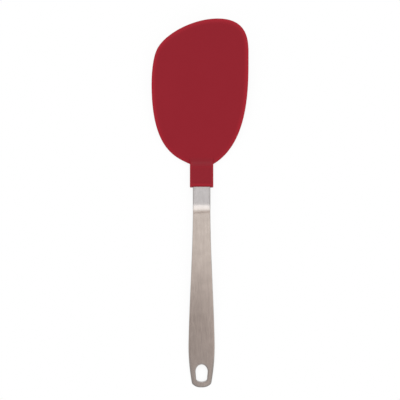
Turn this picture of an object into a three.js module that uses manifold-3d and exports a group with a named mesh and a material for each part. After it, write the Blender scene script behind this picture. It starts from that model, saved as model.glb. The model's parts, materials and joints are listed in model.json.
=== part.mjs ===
// A flexible turner: a spring-steel leaf, riveted to a flat steel handle and moulded into a silicone head.
// Sizes are in millimetres. The pieces are drawn about the blade's own plane, with x to the right,
// y from the collar to the tip and z up, and the whole is then tilted to lie on its heel and handle end.
import * as THREE from "three";
import { mergeVertices } from "three/addons/utils/BufferGeometryUtils.js";
import Module from "manifold-3d";

const wasm = await Module();
wasm.setup();
const { degToRad, lerp, smoothstep } = THREE.MathUtils;

// Room between two pieces that fit together
const clearance = 0.3;

// Blade outline: a lopsided paddle with a slanted tip, drawn as five tangent curves.
// Drops are measured down from the tip, reaches sideways from the handle's centre line.
const bladeLength = 126.1;
const tipOffset = 12.9;
const tipPullRight = 26.8;
const tipPullLeft = 15.2;
const rightReach = 40.3;
const rightDrop = 37.6;
const rightPullUp = 21.2;
const rightPullDown = 47.3;
const shoulderReach = 35.1;
const shoulderDrop = 21.6;
const shoulderAngle = degToRad(49.4);
const shoulderPullUp = 17.6;
const shoulderPullDown = 11.4;
const leftReach = 42.8;
const leftDrop = 56.2;
const leftPullUp = 5;
const leftPullDown = 40.3;
const rightFlareAngle = degToRad(31.7);
const rightFlarePull = 26.4;
const leftFlareAngle = degToRad(21.1);
const leftFlarePull = 25.5;

// Blade section: flat skins over the core, a wide bevel to a thin edge above and a narrow one below
const bladeSkin = 0.75;
const edgeThickness = 1.1;
const edgeRound = 0.3;
const topBevelWidth = 4.5;
const bottomBevelWidth = 2;
const topBevelShare = 0.6;

// Flex line: the head bends about a line across the blade, this far from the foot of the collar's ramp
const flexSetback = 6;

// Spring core
const coreThickness = 0.5;
const coreRim = 10;
const coreTabWidth = 12;
const coreTabOverlap = 12;
const bondHoleDiameter = 6;
const bondHoleCount = 11;
const bondHoleInset = 9;
const bondHoleStart = 36;

// Rivets
const rivetDiameter = 4;
const rivetHeadDiameter = 6;
const rivetHeadHeight = 0.7;
const rivetHeadGap = 0.8;
const rivetEdgeGap = 0.4;

// Handle, along its length from the tang to the hanging end
const handleThickness = 2.5;
const handleEdge = 0.6;
const neckWidth = 15.2;
const tangSetback = 0.2;
const neckLength = 15;
const gripLength = 153;
const gripWidth = 22.3;
const flareLength = 131.5;
const endTaperLength = 31.6;
const endCornerWidth = 16.4;
const endCapDepth = 4.25;

// Side view: the collar and neck rise from the blade, and the grip levels out again
const neckRise = degToRad(28);
const gripRise = degToRad(10);
const gripEndRise = degToRad(4);
const rootBendRadius = 12;
const neckBendRadius = 22;

// Hanging slot: a round top and sides that close in a little towards the arched bottom
const slotWidth = 10.5;
const slotLength = 15.5;
const slotLowWidth = 9.2;
const slotCorner = 2;
const slotArch = 1.2;
const slotEndWall = 5.1;

// Collar: a block around the tang and the rivets, with a ramp down to each face of the blade
const collarSideWall = 2.4;
const collarWall = 0.9;
const collarRound = 1.5;
const collarRoundLimit = 0.35;
const mouthDepth = 0.85;
const mouthRound = 0.7;
const topRampLength = 8;
const bottomRampLength = 5;
const rampSink = 0.3;

// Facets
const curveSteps = 12;
const roundSteps = 3;
const gripSteps = 26;
const bendSteps = 6;

// Levels above the middle of the core, stacked from its faces outwards
const handleBottom = coreThickness / 2 + clearance;
const handleTop = handleBottom + handleThickness;
const handleMiddle = (handleBottom + handleTop) / 2;
const upperHeadBottom = handleTop + clearance;
const lowerHeadTop = -coreThickness / 2 - clearance;
const collarTop = upperHeadBottom + rivetHeadHeight + clearance + collarWall;
const collarBottom = lowerHeadTop - rivetHeadHeight - clearance - collarWall;
const collarWidth = neckWidth + 2 * collarSideWall;
const bladeTop = coreThickness / 2 + clearance + bladeSkin;
const cutterReach = 2 * (collarTop - collarBottom);

// Stations along the centre line, counted from the top of the collar towards the hanging end
const rootBendEnd = rootBendRadius * neckRise;
const tangTip = rootBendEnd + tangSetback;
const rivetEdgeDistance = rivetHeadDiameter / 2 + rivetEdgeGap;
const frontRivetStation = tangTip + rivetEdgeDistance;
const rearRivetStation = frontRivetStation + rivetHeadDiameter + rivetHeadGap;
const coreTabEnd = rearRivetStation + rivetEdgeDistance;
const collarLength = coreTabEnd + mouthDepth;
const neckBendStart = collarLength + neckLength;
const neckBendEnd = neckBendStart + neckBendRadius * (neckRise - gripRise);
const handleEnd = neckBendEnd + gripLength;
const endCorner = handleEnd - endCapDepth;
const widest = endCorner - endTaperLength;
const flexDistance = topRampLength + flexSetback;

// The centre line in side view: straight runs and arcs, each with its length and its change of pitch
const centreLine = [
  { length: rootBendEnd, turn: neckRise },
  { length: neckBendStart - rootBendEnd, turn: 0 },
  { length: neckBendEnd - neckBendStart, turn: gripRise - neckRise },
  { length: gripLength, turn: gripEndRise - gripRise },
];

// The place and pitch of the centre line at a station. Before the collar it runs flat, in the blade.
function centreAt(station) {
  const place = { y: Math.max(-station, 0), z: 0, pitch: 0 };
  let left = Math.max(station, 0);
  for (const run of centreLine) {
    const part = Math.min(left, run.length);
    const halfTurn = (run.turn * part) / run.length / 2;
    const chord = halfTurn === 0 ? part : (part * Math.sin(halfTurn)) / halfTurn;
    place.y -= chord * Math.cos(place.pitch + halfTurn);
    place.z += chord * Math.sin(place.pitch + halfTurn);
    place.pitch += 2 * halfTurn;
    left -= part;
  }
  return place;
}

// A point given across the strip, along its centre line and above it
function onStrip(across, station, height) {
  const { y, z, pitch } = centreAt(station);
  return new THREE.Vector3(across, y + height * Math.sin(pitch), z + height * Math.cos(pitch));
}

// Skins a row of rings that have the same number of plane points, and closes both ends
function loft(rings, place) {
  const count = rings[0].length;
  const points = rings.flatMap((ring, level) => ring.map((point) => place(point, level)));
  const faces = [];
  for (let level = 1; level < rings.length; level += 1) {
    const low = (level - 1) * count;
    const high = level * count;
    for (let i = 0; i < count; i += 1) {
      const next = (i + 1) % count;
      faces.push([low + i, low + next, high + next], [low + i, high + next, high + i]);
    }
  }
  const last = (rings.length - 1) * count;
  const startCap = THREE.ShapeUtils.triangulateShape(rings[0], []);
  const endCap = THREE.ShapeUtils.triangulateShape(rings.at(-1), []);
  faces.push(...startCap.map(([a, b, c]) => [a, c, b]));
  faces.push(...endCap.map((face) => face.map((i) => last + i)));
  const geometry = new THREE.BufferGeometry().setFromPoints(points);
  geometry.setIndex(faces.flat());
  return geometry;
}

// Turns a geometry into a solid that can be joined and cut
function solid(geometry) {
  const bare = geometry.clone();
  bare.deleteAttribute("normal");
  bare.deleteAttribute("uv");
  const merged = mergeVertices(bare);
  const vertProperties = new Float32Array(merged.attributes.position.array);
  const triVerts = new Uint32Array(merged.index.array);
  return new wasm.Manifold(new wasm.Mesh({ numProp: 3, vertProperties, triVerts }));
}

// Turns a finished solid back into a geometry with flat facets
function geometryOf(body) {
  const { vertProperties, triVerts } = body.getMesh();
  const indexed = new THREE.BufferGeometry();
  indexed.setAttribute("position", new THREE.BufferAttribute(vertProperties, 3));
  indexed.setIndex(new THREE.BufferAttribute(triVerts, 1));
  const geometry = indexed.toNonIndexed();
  geometry.computeVertexNormals();
  return geometry;
}

// A rectangle with rounded corners, as points that run anticlockwise
function roundedBox(halfWidth, bottom, top, radius, steps) {
  const corners = [
    [halfWidth - radius, top - radius],
    [radius - halfWidth, top - radius],
    [radius - halfWidth, bottom + radius],
    [halfWidth - radius, bottom + radius],
  ];
  return corners.flatMap(([x, y], quarter) => {
    const start = (quarter * Math.PI) / 2;
    const arc = new THREE.EllipseCurve(x, y, radius, radius, start, start + Math.PI / 2);
    return arc.getPoints(steps);
  });
}

// The blade's outline, drawn in from its edge by an inset, anticlockwise from the right of the collar
function bladeOutline(inset) {
  const pull = (rightReach - inset) / rightReach;
  const half = collarWidth / 2;
  const rightRoot = new THREE.Vector2(half, 0);
  rightRoot.x -= inset * Math.sin(rightFlareAngle);
  rightRoot.y += inset * Math.cos(rightFlareAngle);
  const leftRoot = new THREE.Vector2(-half, 0);
  leftRoot.x += inset * Math.sin(leftFlareAngle);
  leftRoot.y += inset * Math.cos(leftFlareAngle);
  const right = new THREE.Vector2(rightReach - inset, bladeLength - rightDrop);
  const tip = new THREE.Vector2(tipOffset, bladeLength - inset);
  const left = new THREE.Vector2(inset - leftReach, bladeLength - leftDrop);
  const slant = new THREE.Vector2(Math.cos(shoulderAngle), Math.sin(shoulderAngle));
  const shoulder = new THREE.Vector2(-shoulderReach, bladeLength - shoulderDrop);
  shoulder.x += inset * slant.y;
  shoulder.y -= inset * slant.x;

  const outline = new THREE.Shape();
  outline.moveTo(rightRoot.x, rightRoot.y);
  outline.bezierCurveTo(
    rightRoot.x + pull * rightFlarePull * Math.cos(rightFlareAngle),
    rightRoot.y + pull * rightFlarePull * Math.sin(rightFlareAngle),
    right.x,
    right.y - pull * rightPullDown,
    right.x,
    right.y,
  );
  outline.bezierCurveTo(
    right.x,
    right.y + pull * rightPullUp,
    tip.x + pull * tipPullRight,
    tip.y,
    tip.x,
    tip.y,
  );
  outline.bezierCurveTo(
    tip.x - pull * tipPullLeft,
    tip.y,
    shoulder.x + pull * shoulderPullUp * slant.x,
    shoulder.y + pull * shoulderPullUp * slant.y,
    shoulder.x,
    shoulder.y,
  );
  outline.bezierCurveTo(
    shoulder.x - pull * shoulderPullDown * slant.x,
    shoulder.y - pull * shoulderPullDown * slant.y,
    left.x,
    left.y + pull * leftPullUp,
    left.x,
    left.y,
  );
  outline.bezierCurveTo(
    left.x,
    left.y - pull * leftPullDown,
    leftRoot.x - pull * leftFlarePull * Math.cos(leftFlareAngle),
    leftRoot.y + pull * leftFlarePull * Math.sin(leftFlareAngle),
    leftRoot.x,
    leftRoot.y,
  );
  return outline;
}

// The silicone blade: rings of its outline from the bottom face, round the thin edge, to the top face
function bladeBody() {
  const edgeBottom = -edgeThickness / 2;
  const edgeTop = edgeThickness / 2;
  const section = [
    [bottomBevelWidth, -bladeTop],
    [edgeRound, edgeBottom - edgeRound],
    [0, edgeBottom],
    [0, edgeTop - edgeRound],
    [edgeRound, edgeTop],
    [topBevelWidth * (1 - topBevelShare), edgeTop + (bladeTop - edgeTop) * topBevelShare],
    [topBevelWidth, bladeTop],
  ];
  const rings = section.map(([inset]) => bladeOutline(inset).getPoints(curveSteps));
  return solid(loft(rings, (point, level) => new THREE.Vector3(point.x, point.y, section[level][1])));
}

// The silicone collar: a rounded block around the tang that ramps down to both faces of the blade
function collarBody() {
  const stations = [];
  for (let i = 0; i <= bendSteps; i += 1) {
    const share = i / bendSteps;
    const ramp = smoothstep(share, 0, 1) * share;
    stations.push({ at: (share - 1) * topRampLength, top: share * ramp, trim: 0 });
  }
  for (let i = 1; i <= bendSteps; i += 1) {
    stations.push({ at: (i / bendSteps) * rootBendEnd, top: 1, trim: 0 });
  }
  for (let i = 0; i <= roundSteps; i += 1) {
    const angle = ((i / roundSteps) * Math.PI) / 2;
    const back = mouthRound * (1 - Math.sin(angle));
    stations.push({ at: collarLength - back, top: 1, trim: mouthRound * (1 - Math.cos(angle)) });
  }
  const rings = stations.map(({ at, top, trim }) => {
    const bottom = smoothstep(at, -bottomRampLength, 0);
    const high = lerp(bladeTop - rampSink, collarTop, top) - trim;
    const low = lerp(rampSink - bladeTop, collarBottom, bottom) + trim;
    const radius = Math.min(collarRound, (high - low) * collarRoundLimit);
    return roundedBox(collarWidth / 2 - trim, low, high, radius, roundSteps);
  });
  return solid(loft(rings, (point, level) => onStrip(point.x, stations[level].at, point.y)));
}

// Half the handle's width at a station: plain at the neck, widening along the grip, tapering at the end
function handleSide(station) {
  const flare = smoothstep(station, neckBendStart, neckBendStart + flareLength);
  const taper = Math.max(station - widest, 0) / endTaperLength;
  return (lerp(neckWidth, gripWidth, flare) - (gripWidth - endCornerWidth) * taper * taper) / 2;
}

// The same, with the round cap that closes the hanging end
function handleHalfWidth(station) {
  if (station <= endCorner) {
    return handleSide(station);
  }
  const half = handleSide(endCorner);
  const radius = (half * half + endCapDepth * endCapDepth) / (2 * endCapDepth);
  const rise = radius - (handleEnd - station);
  return Math.sqrt(radius * radius - rise * rise);
}

// The handle strip before it is cut, made larger all round by an allowance
function handleBody(allowance) {
  const stations = [tangTip - allowance, tangTip + handleEdge];
  for (let i = 0; i <= bendSteps; i += 1) {
    stations.push(neckBendStart + (i / bendSteps) * (neckBendEnd - neckBendStart));
  }
  for (let i = 1; i <= gripSteps; i += 1) {
    stations.push(neckBendEnd + (i / gripSteps) * (endCorner - neckBendEnd));
  }
  for (let i = 1; i < bendSteps; i += 1) {
    const angle = ((i / bendSteps) * Math.PI) / 2;
    stations.push(endCorner + endCapDepth * Math.sin(angle));
  }
  const rings = stations.map((station, level) => {
    const isEnd = level === 0 || level === stations.length - 1;
    const trim = isEnd ? handleEdge : 0;
    const half = handleHalfWidth(station) + allowance - (level === 0 ? trim : 0);
    return roundedBox(half, handleBottom - allowance + trim, handleTop + allowance - trim, handleEdge, 1);
  });
  return solid(loft(rings, (point, level) => onStrip(point.x, stations[level], point.y)));
}

// Lays a flat geometry, drawn across (x) and towards the blade (y), on the strip at a station
function layOnStrip(geometry, station, height) {
  const { pitch } = centreAt(station);
  return geometry.rotateX(-pitch).translate(...onStrip(0, station, height));
}

// The hanging slot's cutter
function slotCutter() {
  const top = slotLength - slotWidth / 2;
  const low = slotLowWidth / 2;
  const outline = new THREE.Shape();
  outline.absarc(0, top, slotWidth / 2, 0, Math.PI);
  outline.lineTo(-low, slotArch + slotCorner);
  outline.quadraticCurveTo(-low, slotArch, slotCorner - low, slotArch / 2);
  outline.quadraticCurveTo(0, -slotArch / 2, low - slotCorner, slotArch / 2);
  outline.quadraticCurveTo(low, slotArch, low, slotArch + slotCorner);
  const settings = { depth: cutterReach, bevelEnabled: false, curveSegments: curveSteps };
  const cutter = new THREE.ExtrudeGeometry(outline, settings).translate(0, 0, -cutterReach / 2);
  return solid(layOnStrip(cutter, handleEnd - slotEndWall, handleMiddle));
}

// A rivet: a shank through the core and the tang with a flat head on each side
function rivetGeometry(allowance) {
  const shank = rivetDiameter / 2 + allowance;
  const head = rivetHeadDiameter / 2 + allowance;
  const top = upperHeadBottom + rivetHeadHeight + allowance;
  const bottom = lowerHeadTop - rivetHeadHeight - allowance;
  const profile = [
    new THREE.Vector2(0, bottom),
    new THREE.Vector2(head, bottom),
    new THREE.Vector2(head, lowerHeadTop + allowance),
    new THREE.Vector2(shank, lowerHeadTop + allowance),
    new THREE.Vector2(shank, upperHeadBottom - allowance),
    new THREE.Vector2(head, upperHeadBottom - allowance),
    new THREE.Vector2(head, top),
    new THREE.Vector2(0, top),
  ];
  return new THREE.LatheGeometry(profile, 2 * curveSteps).rotateX(Math.PI / 2);
}

// The hole that a rivet's shank passes through
function rivetHole(station) {
  const radius = rivetDiameter / 2 + clearance;
  const hole = new THREE.CylinderGeometry(radius, radius, cutterReach, 2 * curveSteps).rotateX(Math.PI / 2);
  return solid(layOnStrip(hole, station, 0));
}

// The spring core: a plate inside the blade and a tab that follows the bend under the tang
function coreBody(allowance) {
  const half = coreThickness / 2 + allowance;
  const plateOutline = bladeOutline(coreRim - allowance);
  const holeRing = bladeOutline(coreRim + bondHoleInset).getSpacedPoints(bondHoleCount);
  for (const { x, y } of holeRing.filter((point) => point.y > bondHoleStart)) {
    const hole = new THREE.Path();
    hole.absarc(x, y, bondHoleDiameter / 2 - allowance, 0, 2 * Math.PI);
    plateOutline.holes.push(hole);
  }
  const settings = { depth: 2 * half, bevelEnabled: false, curveSegments: curveSteps };
  const plate = new THREE.ExtrudeGeometry(plateOutline, settings).translate(0, 0, -half);

  const stations = [-coreRim - coreTabOverlap, 0];
  for (let i = 1; i <= bendSteps; i += 1) {
    stations.push((i / bendSteps) * rootBendEnd);
  }
  stations.push(coreTabEnd + allowance);
  const across = coreTabWidth / 2 + allowance;
  const section = [
    new THREE.Vector2(across, half),
    new THREE.Vector2(-across, half),
    new THREE.Vector2(-across, -half),
    new THREE.Vector2(across, -half),
  ];
  const rings = stations.map(() => section);
  const tab = loft(rings, (point, level) => onStrip(point.x, stations[level], point.y));
  return solid(plate).add(solid(tab));
}

// What lies on the collar's side of the flex line, with a round nose on the line itself
function rootSide(allowance) {
  const size = bladeLength + handleEnd;
  const radius = bladeTop + allowance;
  const block = new THREE.BoxGeometry(size, size, size).translate(0, flexDistance - size / 2, 0);
  const nose = new THREE.CylinderGeometry(radius, radius, size, 4 * curveSteps).rotateZ(Math.PI / 2);
  nose.translate(0, flexDistance, 0);
  return solid(block).add(solid(nose));
}

const rivetStations = [frontRivetStation, rearRivetStation];
let handleSolid = handleBody(0).subtract(slotCutter());
let coreSolid = coreBody(0);
let cavity = handleBody(clearance).add(coreBody(clearance));
for (const station of rivetStations) {
  handleSolid = handleSolid.subtract(rivetHole(station));
  coreSolid = coreSolid.subtract(rivetHole(station));
  cavity = cavity.add(solid(layOnStrip(rivetGeometry(clearance), station, 0)));
}
const headSolid = bladeBody().add(collarBody()).subtract(cavity);

const siliconeRed = { color: 0x8f252e, roughness: 0.55, metalness: 0 };
const brushedSteel = { color: 0xb8afa8, roughness: 0.32, metalness: 1 };
const springSteel = { color: 0x9a9da0, roughness: 0.4, metalness: 1 };
const rivetSteel = { color: 0xaeb0b2, roughness: 0.35, metalness: 1 };

function piece(name, geometry, finish) {
  const mesh = new THREE.Mesh(geometry, new THREE.MeshStandardMaterial(finish));
  mesh.name = name;
  return mesh;
}

function rivet(name, station) {
  const mesh = piece(name, rivetGeometry(0), rivetSteel);
  mesh.position.copy(onStrip(0, station, 0));
  mesh.rotation.x = -centreAt(station).pitch;
  return mesh;
}

const handle = piece("handle", geometryOf(handleSolid), brushedSteel);
const collar = piece("collar", geometryOf(headSolid.intersect(rootSide(0))), siliconeRed);
const blade = piece("blade", geometryOf(headSolid.subtract(rootSide(clearance))), siliconeRed);
const springCore = piece("spring_core", geometryOf(coreSolid), springSteel);
const frontRivet = rivet("front_rivet", frontRivetStation);
const rearRivet = rivet("rear_rivet", rearRivetStation);

// The corners of a mesh's facets, in the blade's frame
function cornersOf(mesh) {
  const points = mesh.geometry.attributes.position;
  return Array.from({ length: points.count }, (_, i) => new THREE.Vector3().fromBufferAttribute(points, i));
}

// At rest the heel of the collar and the end of the handle lie on one level line. The tilt is found
// from the handle's last section, and once more from the point that then lies lowest on the handle.
const tiltAxis = new THREE.Vector3(1, 0, 0);
let handleRest = onStrip(0, handleEnd, handleBottom);
let restTilt = 0;
for (let pass = 0; pass < 2; pass += 1) {
  const heelTilts = cornersOf(collar).map((p) => Math.atan2(handleRest.z - p.z, p.y - handleRest.y));
  restTilt = Math.max(...heelTilts);
  const heightOf = (point) => point.clone().applyAxisAngle(tiltAxis, restTilt).z;
  handleRest = cornersOf(handle).reduce((low, point) => (heightOf(point) < heightOf(low) ? point : low));
}

const turner = new THREE.Group();
turner.name = "flexible_turner";
turner.rotation.x = restTilt;
turner.add(handle, collar, blade, springCore, frontRivet, rearRivet);

// The origin is the middle of the bottom of the box around the part
const part = new THREE.Group();
part.add(turner);
part.updateMatrixWorld(true);
const box = new THREE.Box3().setFromObject(part, true);
const middle = box.getCenter(new THREE.Vector3());
turner.position.set(-middle.x, -middle.y, -box.min.z);

export default part;
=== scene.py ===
# %% [markdown]
# # A flexible turner
# The real tool is a stainless strip for a handle, a spring-steel leaf riveted under its front end,
# and a head of red silicone moulded over both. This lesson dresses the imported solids: each cell
# makes one piece or one finish. The frame comes first, because every piece is placed by it.

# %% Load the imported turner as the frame
import json
import math

import bmesh
import bpy
import numpy as np
from mathutils import Matrix, Vector
from mathutils.geometry import delaunay_2d_cdt


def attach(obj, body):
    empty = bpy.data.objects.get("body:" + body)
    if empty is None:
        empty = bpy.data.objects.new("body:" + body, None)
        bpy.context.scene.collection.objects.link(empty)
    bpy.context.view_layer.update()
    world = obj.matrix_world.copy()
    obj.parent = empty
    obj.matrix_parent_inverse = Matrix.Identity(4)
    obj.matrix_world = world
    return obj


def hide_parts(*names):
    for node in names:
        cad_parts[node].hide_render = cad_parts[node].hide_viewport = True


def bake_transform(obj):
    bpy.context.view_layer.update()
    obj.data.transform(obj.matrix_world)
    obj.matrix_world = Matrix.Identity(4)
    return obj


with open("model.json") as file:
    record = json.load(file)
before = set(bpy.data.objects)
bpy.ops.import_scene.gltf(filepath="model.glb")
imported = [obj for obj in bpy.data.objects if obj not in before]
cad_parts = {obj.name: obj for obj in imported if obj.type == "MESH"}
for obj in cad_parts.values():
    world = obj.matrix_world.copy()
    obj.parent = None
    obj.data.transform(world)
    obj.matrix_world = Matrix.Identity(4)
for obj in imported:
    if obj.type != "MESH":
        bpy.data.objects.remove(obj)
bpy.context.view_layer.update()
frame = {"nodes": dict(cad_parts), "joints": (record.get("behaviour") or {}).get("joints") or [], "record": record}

scene = bpy.context.scene
flex = frame["joints"][0]
mounts = {mount["name"]: mount for mount in frame["record"]["mounts"]}
print("frame:", sorted(frame["nodes"]), "joint:", flex["name"])

# %% [markdown]
# ## The strip and its bends
# Handle, leaf and collar all follow one line in side view. It runs flat in the blade, turns up at
# the collar, levels out again at the neck and arches gently down to the hanging end. Each piece
# could be modelled bent, but it is easier to draw it flat, as the sheet it was stamped or moulded
# from, and to bend it afterwards. A flat piece has x across, y towards the tip and z above the
# middle of the leaf, in millimetres. A station is a distance from the collar's front edge towards
# the hanging end.

# %% Sizes along the strip, in millimetres
mm = 0.001
root_bend, root_bend_radius = math.radians(28), 12.0
neck_bend, neck_bend_radius = math.radians(18), 22.0
grip_arch = math.radians(6)
collar_straight, neck_straight, grip_length = 14.65, 15.0, 153.0
root_bend_end = root_bend_radius * root_bend
collar_length = root_bend_end + collar_straight
neck_bend_start = collar_length + neck_straight
neck_bend_end = neck_bend_start + neck_bend_radius * neck_bend
handle_end = neck_bend_end + grip_length
bends = (
    (root_bend_end, root_bend),
    (neck_bend_start - root_bend_end, 0.0),
    (neck_bend_end - neck_bend_start, -neck_bend),
    (grip_length, -grip_arch),
)
print(f"collar {collar_length:.2f} mm, handle end at {handle_end:.2f} mm")


# %% The spine: one line for everything that is bent
def spine_at(station):
    """The spine's place at a station, in the blade's own plane."""
    y, z, pitch, left = max(-station, 0.0), 0.0, 0.0, max(station, 0.0)
    for length, turn in bends:
        part = min(left, length)
        half = turn * part / length / 2
        chord = part * math.sin(half) / half if half else part
        y -= chord * math.cos(pitch + half)
        z += chord * math.sin(pitch + half)
        pitch += 2 * half
        left -= part
    return Vector((0.0, y, z))


def lay_curve(name, places):
    """A curve object through a row of places."""
    curve = bpy.data.curves.new(name, "CURVE")
    curve.dimensions = "3D"
    spline = curve.splines.new("POLY")
    spline.points.add(len(places) - 1)
    for point, place in zip(spline.points, places):
        point.co = (*place, 1.0)
    made = bpy.data.objects.new(name, curve)
    scene.collection.objects.link(made)
    return made


# %% Lay the spine where the frame holds the blade
blade_up = mounts["blade_top"]["axis"]
blade_turn = Matrix.Rotation(math.atan2(-blade_up[1], blade_up[2]), 4, "X")
blade_way = blade_turn @ Vector((0.0, 1.0, 0.0))
flex_distance = 14.0
root_place = Vector(flex["pos_m"]) - blade_way * flex_distance * mm
laying = Matrix.Translation(root_place) @ blade_turn
spine_start, spine_count = -130.0, 652
stations = np.linspace(spine_start, handle_end, spine_count)
spine = lay_curve("spine", [laying @ (spine_at(s) * mm) for s in stations])
print("spine laid to", tuple(round(v, 4) for v in spine.data.splines[0].points[-1].co[:3]))

# %% [markdown]
# ## Nodes written as sums
# Both the bending and the finishes are node trees. Adding nodes one by one takes many lines, so a
# small class stands for one socket: sums written with it add Math nodes, and one method adds any
# other node with its settings and sockets.


# %% A socket that can be used in sums
class Wire:
    """One socket of a node tree."""

    def __init__(self, tree, socket=None):
        self.tree, self.socket = tree, socket

    def node(self, kind, settings=None, sockets=None, out=0):
        """Adds a node: its settings first, then the values or wires of its sockets."""
        made = self.tree.nodes.new(kind)
        for key, value in (settings or {}).items():
            if key == "stops":
                ramp = made.color_ramp.elements
                while len(ramp) < len(value):
                    ramp.new(1.0)
                for stop, (place, colour) in zip(ramp, value):
                    stop.position, stop.color = place, (*colour, 1.0)
            else:
                setattr(made, key, value)
        for key, value in (sockets or {}).items():
            if isinstance(value, Wire):
                self.tree.links.new(value.socket, made.inputs[key])
            else:
                made.inputs[key].default_value = value
        return Wire(self.tree, made.outputs[out]) if made.outputs else made

    def also(self, out):
        """Another output of the same node."""
        return Wire(self.tree, self.socket.node.outputs[out])

    def math(self, operation, first, second=0.0):
        return self.node("ShaderNodeMath", {"operation": operation}, {0: first, 1: second})

    def __add__(self, other):
        return self.math("ADD", self, other)

    def __sub__(self, other):
        return self.math("SUBTRACT", self, other)

    def __rsub__(self, other):
        return self.math("SUBTRACT", other, self)

    def __mul__(self, other):
        return self.math("MULTIPLY", self, other)

    def __truediv__(self, other):
        return self.math("DIVIDE", self, other)

    def __pow__(self, other):
        return self.math("POWER", self, other)

    __radd__, __rmul__ = __add__, __mul__


# %% [markdown]
# ## The press
# A real handle is stamped flat and then bent in a press. Blender's Curve modifier bends too, but
# its twist and stretch follow the curve's own settings. Geometry Nodes can state the rule outright:
# Sample Curve finds the spine's place and direction at each point's station, and Set Position puts
# the point there. One tree bends every piece, so that all of them fit each other after bending.


# %% Helpers that make and run a geometry tree
def geometry_tree(name, inputs):
    """An empty geometry tree with named inputs, and its Group Input wire."""
    tree = bpy.data.node_groups.new(name, "GeometryNodeTree")
    for label, kind in [("Geometry", "Geometry"), *inputs, ("Finish", "Material")]:
        tree.interface.new_socket(label, in_out="INPUT", socket_type="NodeSocket" + kind)
    tree.interface.new_socket("Geometry", in_out="OUTPUT", socket_type="NodeSocketGeometry")
    return Wire(tree).node("NodeGroupInput")


def curve_of(given, label):
    """The curve of an object that is one of a tree's inputs."""
    return given.node(
        "GeometryNodeObjectInfo", sockets={"Object": given.also(label)}, out="Geometry"
    )


def end_tree(given, shape):
    """Ends a tree in Realize Instances and Set Material."""
    real = given.node("GeometryNodeRealizeInstances", sockets={"Geometry": shape})
    finish = {"Geometry": real, "Material": given.also("Finish")}
    finished = given.node("GeometryNodeSetMaterial", sockets=finish)
    given.node("NodeGroupOutput", sockets={"Geometry": finished})
    return given.tree


def keep_result(piece, modifier):
    """Turns what a modifier makes into the piece's plain mesh."""
    evaluated = piece.evaluated_get(bpy.context.evaluated_depsgraph_get())
    before, piece.data = piece.data, bpy.data.meshes.new_from_object(evaluated)
    piece.modifiers.remove(modifier)
    bpy.data.meshes.remove(before)


def shape_by(tree, piece, values):
    """Runs a tree on a piece and keeps the result."""
    modifier = piece.modifiers.new(tree.name, "NODES")
    modifier.node_group = tree
    for item in tree.interface.items_tree:
        if item.in_out == "INPUT" and item.name in values:
            modifier[item.identifier] = values[item.name]
    keep_result(piece, modifier)


# %% The tree that bends a flat piece along the spine
given = geometry_tree("press_bend", [("Spine", "Object"), ("Start", "Float")])
flat_place = given.node("GeometryNodeInputPosition")
across = given.node("ShaderNodeSeparateXYZ", sockets={"Vector": flat_place})
length = 0.0 - across.also("Y") - given.also("Start")
on_line = given.node(
    "GeometryNodeSampleCurve",
    {"mode": "LENGTH", "use_all_curves": True},
    {"Curves": curve_of(given, "Spine"), "Length": length},
    out="Position",
)
upright = given.node(
    "ShaderNodeVectorMath",
    {"operation": "CROSS_PRODUCT"},
    {0: on_line.also("Tangent"), 1: (1.0, 0.0, 0.0)},
)
lifted = given.node(
    "ShaderNodeVectorMath", {"operation": "SCALE"}, {0: upright, "Scale": across.also("Z")}
)
sideways = given.node("ShaderNodeCombineXYZ", sockets={"X": across.also("X")})
bent_place = given.node("ShaderNodeVectorMath", {"operation": "ADD"}, {0: on_line, 1: lifted})
bent_place = given.node("ShaderNodeVectorMath", {"operation": "ADD"}, {0: bent_place, 1: sideways})
bent = given.node(
    "GeometryNodeSetPosition", sockets={"Geometry": given, "Position": bent_place}
)
press_bend = end_tree(given, bent)
print("press_bend has", len(press_bend.nodes), "nodes")


def press(piece, finish):
    """Bends a flat piece, drawn in millimetres, to its place in the frame."""
    piece.data.transform(Matrix.Scale(mm, 4))
    values = {"Spine": spine, "Start": spine_start * mm, "Finish": finish}
    shape_by(press_bend, piece, values)
    print(piece.name, "pressed:", len(piece.data.polygons), "faces")


# %% [markdown]
# ## Red silicone
# Moulded silicone is matte and even, with a very fine grain from the mould. Where it is thin, at the rim, light
# comes through it and the red looks brighter. Subsurface scattering could do that, but it is slow and noisy on so
# thin a piece. So that glow is painted: the head carries a rim attribute, 1 at the edge and 0 inside, which mixes
# a lighter red into the face. The same attribute also paints highlights along the collar's rounded sides and in a
# line across the lip of the mouth. A soft cloud mixes two reds, which keeps the face from looking painted. The
# ramp in front of the collar comes smoother out of the mould and shines a little: a second attribute makes it less
# rough.


# %% Helpers for finishes
def new_finish(name, **constants):
    """A material with a Principled shader, and the wire that adds its nodes."""
    finish = bpy.data.materials.new(name)
    finish.use_nodes = True
    shader = finish.node_tree.nodes["Principled BSDF"]
    for label, value in constants.items():
        shader.inputs[label.replace("_", " ")].default_value = value
    return finish, Wire(finish.node_tree), shader


def feed(pen, shader, **wires):
    """Links wires to a shader's sockets."""
    for label, wire in wires.items():
        pen.tree.links.new(wire.socket, shader.inputs[label.replace("_", " ")])


def mixed(pen, share, first, second):
    """A colour between two colours."""
    return pen.node("ShaderNodeMix", {"data_type": "RGBA"}, {0: share, 6: first, 7: second}, out=2)


def noise(pen, where, scale, detail=2.0, rough=0.5):
    """Even noise of a scale, in waves per metre."""
    values = {"Vector": where, "Scale": scale, "Detail": detail, "Roughness": rough}
    return pen.node("ShaderNodeTexNoise", sockets=values)


def marked(pen, label):
    """What a piece's own points say under a label."""
    return pen.node("ShaderNodeAttribute", {"attribute_name": label}, out="Fac")


def bumped(pen, height, depth, strength):
    """A normal that follows small heights."""
    values = {"Strength": strength, "Distance": depth, "Height": height}
    return pen.node("ShaderNodeBump", sockets=values, out="Normal")
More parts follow.
